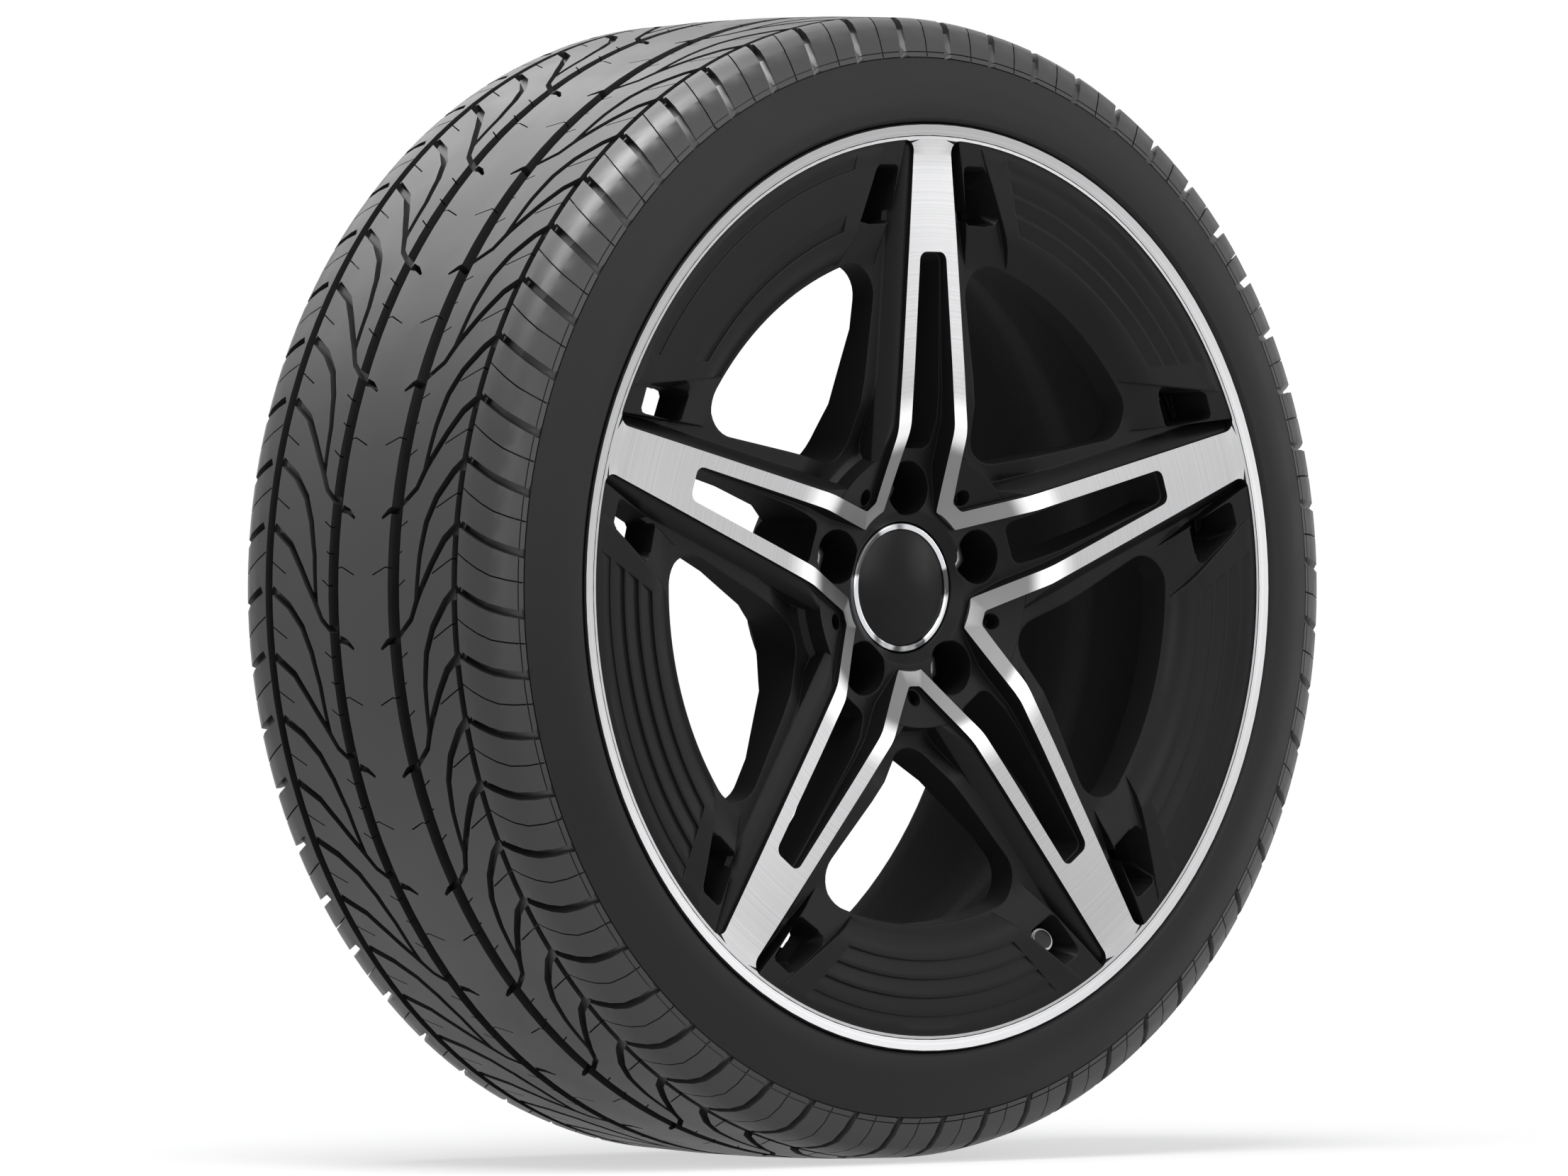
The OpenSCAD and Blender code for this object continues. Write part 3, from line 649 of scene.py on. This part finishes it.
class WHEEL_OT_centre_cap(bpy.types.Operator):
    """Centre cap: black face in a bright ring"""
    bl_idname = "wheel.centre_cap"
    bl_label = "Centre cap"

    def execute(self, context):
        face = solid_copy("centre_cap", "cap_face")
        dissolve(face, 1.0)
        bevel(face, 0.0004)
        smooth(face)
        coat(face, plain_material("cap_black", (0.0035, 0.0035, 0.0037), 0.0, 0.25, specular=0.14))
        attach(face, "wheel_body")
        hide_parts("centre_cap")
        ring = solid_copy("cap_ring", "bright_ring")
        dissolve(ring, 1.0)
        bevel(ring, 0.0007, 4)
        smooth(ring, 40.0)
        coat(ring, chrome_material())
        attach(ring, "wheel_body")
        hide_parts("cap_ring")
        return {"FINISHED"}


def valve_axis():
    """A point on the valve's axis and the axis' direction towards the cap."""
    joint = next(j for j in frame["record"]["behaviour"]["joints"] if j["name"] == "valve_cap_turn")
    return Vector(joint["pos_m"]), Vector(joint["axis"]).normalized()


def add_flutes(mesh, origin, axis, radius, low, high, count):
    """Narrow grooves along the cap, between the ridges of its knurl."""
    side = axis.orthogonal().normalized()
    for i in range(count):
        out = Matrix.Rotation(2 * math.pi * i / count, 3, axis) @ side
        across = axis.cross(out)
        half = 0.3 * math.pi * radius / count
        foot, mouth = out * (radius - FLUTE_DEPTH), out * (radius + CAP_CLEAR)
        corners = [foot + across * (0.4 * half), mouth + across * (1.6 * half),
                   mouth - across * (1.6 * half), foot - across * (0.4 * half)]
        ends = [[mesh.verts.new(origin + axis * at + c) for c in corners] for at in (low, high)]
        close_prism(mesh, *ends)


class WHEEL_OT_valve(bpy.types.Operator):
    """Valve: metal stem and nut with a knurled cap"""
    bl_idname = "wheel.valve"
    bl_label = "Valve"

    def execute(self, context):
        metal = plain_material("valve_metal", (0.26, 0.26, 0.27), 1.0, 0.36)
        inlay = plain_material("cap_inlay", (0.004, 0.004, 0.0042), 0.0, 0.3, specular=0.2)
        cap = solid_copy("valve_cap", "knurled_cap")
        self.knurl(cap)
        coat(cap, metal, inlay)
        self.inlay(cap)
        smooth(cap)
        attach(cap, "cap_body")
        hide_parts("valve_cap")
        for name in ("valve_stem", "valve_nut", "valve_pin", "sensor_screw"):
            coat(NODES[name], metal)
        coat(NODES["valve_core"], plain_material("core_brass", (0.6, 0.42, 0.17), 1.0, 0.35))
        seal = plain_material("seal_rubber", (0.012, 0.012, 0.012), 0.0, 0.6)
        coat(NODES["valve_grommet"], seal)
        coat(NODES["valve_cap_seal"], seal)
        spring = plain_material("spring_steel", (0.5, 0.5, 0.52), 1.0, 0.3)
        coat(NODES["valve_spring"], spring)
        coat(NODES["cap_wire"], spring)
        coat(NODES["pressure_sensor"], plain_material("sensor_plastic", (0.02, 0.02, 0.021), 0.0, 0.5))
        return {"FINISHED"}

    def knurl(self, cap):
        origin, axis = valve_axis()
        heights = [(v.co - origin).dot(axis) for v in cap.data.vertices]
        top = max(heights)
        radius = max(((v.co - origin) - axis * h).length for v, h in zip(cap.data.vertices, heights))
        mesh = bmesh.new()
        add_flutes(mesh, origin, axis, radius, top - KNURL_LENGTH, top + 0.001, sizes().knurl_count)
        cut(cap, mesh)

    def inlay(self, cap):
        """A shallow black disc with a bright rim in the end of the cap."""
        origin, axis = valve_axis()
        top = max((v.co - origin).dot(axis) for v in cap.data.vertices)
        side = axis.orthogonal().normalized() * INLAY_RADIUS
        middle = origin + axis * (top + CAP_CLEAR)
        ring = [middle + Matrix.Rotation(2 * math.pi * i / 40, 3, axis) @ side for i in range(40)]
        plug = bmesh.new()
        lows = [plug.verts.new(p - axis * (CAP_CLEAR + INLAY_DEPTH)) for p in ring]
        close_prism(plug, lows, [plug.verts.new(p) for p in ring])
        cut(cap, plug)
        for face in cap.data.polygons:
            height = (face.center - origin).dot(axis)
            if abs(height - top + INLAY_DEPTH) < 0.00005 and face.normal.dot(axis) > 0.9:
                face.material_index = 1


def area_light(name, location, size, power, target=CENTRE, only=None):
    """A rectangular lamp aimed at a point, which lights one piece only where one is given."""
    aim = (Vector(target) - Vector(location)).to_track_quat("-Z", "Y").to_euler()
    bpy.ops.object.light_add(type="AREA", location=location, rotation=aim)
    lamp = bpy.context.object
    lamp.name = name
    lamp.data.shape = "RECTANGLE"
    lamp.data.size, lamp.data.size_y = size
    lamp.data.energy = power
    if only:
        lit = bpy.data.collections.new(name + "_lit")
        lit.objects.link(only)
        lamp.light_linking.receiver_collection = lit


class WHEEL_OT_stage(bpy.types.Operator):
    """Stage: camera, white studio, floor and lights"""
    bl_idname = "wheel.stage"
    bl_label = "Stage"

    def execute(self, context):
        scene = context.scene
        scene.view_settings.view_transform = "Standard"
        bpy.ops.object.camera_add(location=(-5.41595, -5.88851 + FRONT_Y, -0.00025),
                                  rotation=(math.radians(90), 0, math.radians(-42)))
        camera = bpy.context.object
        camera.data.sensor_width = 36.0
        camera.data.lens = 327.09
        camera.data.clip_end = 50.0
        scene.camera = camera
        self.world(scene)
        self.floor()
        self.lamps()
        return {"FINISHED"}

    def lamps(self):
        tyre = bpy.data.objects["tyre_dressed"]
        strip = (0.25, 0.6)
        area_light("top_light", (-0.6, -0.3, 2.0), (1.5, 1.6), 66.0)
        area_light("front_light", (0.6, -2.4, 0.9), (1.2, 1.6), 10.0)
        area_light("left_strip", (-0.95, -2.2, 0.55), (0.4, 1.0), 7.0)
        area_light("rear_light", (-0.1, 1.85, 1.75), (2.6, 1.5), 25.0, (0, 0, 0.1), tyre)
        area_light("shoulder_light", (-0.55, 0.25, 2.0), (1.2, 0.8), 30.0, (-0.1, 0, 0.1), tyre)
        area_light("right_strip", (2.25, -1.65, 0.45), strip, 2.2)
        area_light("middle_strip", (0.8, -1.85, 0.5), strip, 1.5)
        area_light("upper_strip", (1.15, -1.8, 0.9), strip, 2.0)

    def world(self, scene):
        """Soft even light on the wheel, and white wherever the surroundings are seen."""
        world = bpy.data.worlds.new("studio")
        scene.world = world
        world.use_nodes = True
        tree = world.node_tree
        soft = tree.nodes["Background"]
        soft.inputs["Color"].default_value = (0.9, 0.92, 0.95, 1)
        soft.inputs["Strength"].default_value = 0.35
        white = node(tree, "ShaderNodeBackground")
        white.inputs["Color"].default_value = (1, 1, 1, 1)
        white.inputs["Strength"].default_value = 1.0
        mix_shaders(tree, seen_directly(tree), soft.outputs[0], white.outputs[0], "World Output")

    def floor(self):
        """A pale floor that fades to white away from the tyre and keeps its shadow."""
        bpy.ops.mesh.primitive_circle_add(vertices=96, radius=2.2, fill_type="NGON",
                                          location=(0, 0, FLOOR_Z - 0.0002))
        floor = bpy.context.object
        floor.name = "studio_floor"
        mat, tree, shader = new_material("studio_floor")
        shader.inputs["Base Color"].default_value = (*colours().floor, 1.0)
        shader.inputs["Roughness"].default_value = 0.9
        shader.inputs["Specular IOR Level"].default_value = 0.0
        length = node(tree, "ShaderNodeVectorMath", operation="LENGTH")
        tree.links.new(object_coords(tree), length.inputs[0])
        away = map_range(tree, length.outputs["Value"], 0.3, 0.75, 0.6, 1.0)
        fade = math_node(tree, "MULTIPLY", seen_directly(tree), away)
        white = node(tree, "ShaderNodeEmission")
        mix_shaders(tree, fade, shader.outputs[0], white.outputs[0], "Material Output")
        coat(floor, mat)


class WHEEL_PT_panel(bpy.types.Panel):
    """Lists the steps that dress the wheel"""
    bl_idname = "WHEEL_PT_panel"
    bl_label = "Alloy road wheel"
    bl_space_type = "VIEW_3D"
    bl_region_type = "UI"
    bl_category = "Wheel"

    def draw(self, context):
        for group in (context.scene.wheel_sizes, context.scene.wheel_colours):
            for name in group.__annotations__:
                self.layout.prop(group, name)
        for step in STEPS:
            self.layout.operator(step.bl_idname)


STEPS = (WHEEL_OT_casting, WHEEL_OT_tyre, WHEEL_OT_bolts, WHEEL_OT_centre_cap, WHEEL_OT_valve,
         WHEEL_OT_stage)
CLASSES = (WheelSizes, WheelColours, *STEPS, WHEEL_PT_panel)


def register():
    for cls in CLASSES:
        bpy.utils.register_class(cls)
    bpy.types.Scene.wheel_sizes = bpy.props.PointerProperty(type=WheelSizes)
    bpy.types.Scene.wheel_colours = bpy.props.PointerProperty(type=WheelColours)


def unregister():
    del bpy.types.Scene.wheel_colours
    del bpy.types.Scene.wheel_sizes
    for cls in reversed(CLASSES):
        bpy.utils.unregister_class(cls)


def main():
    register()
    bpy.ops.wheel.casting()
    bpy.ops.wheel.tyre()
    bpy.ops.wheel.bolts()
    bpy.ops.wheel.centre_cap()
    bpy.ops.wheel.valve()
    bpy.ops.wheel.stage()


if __name__ == "__main__":
    main()
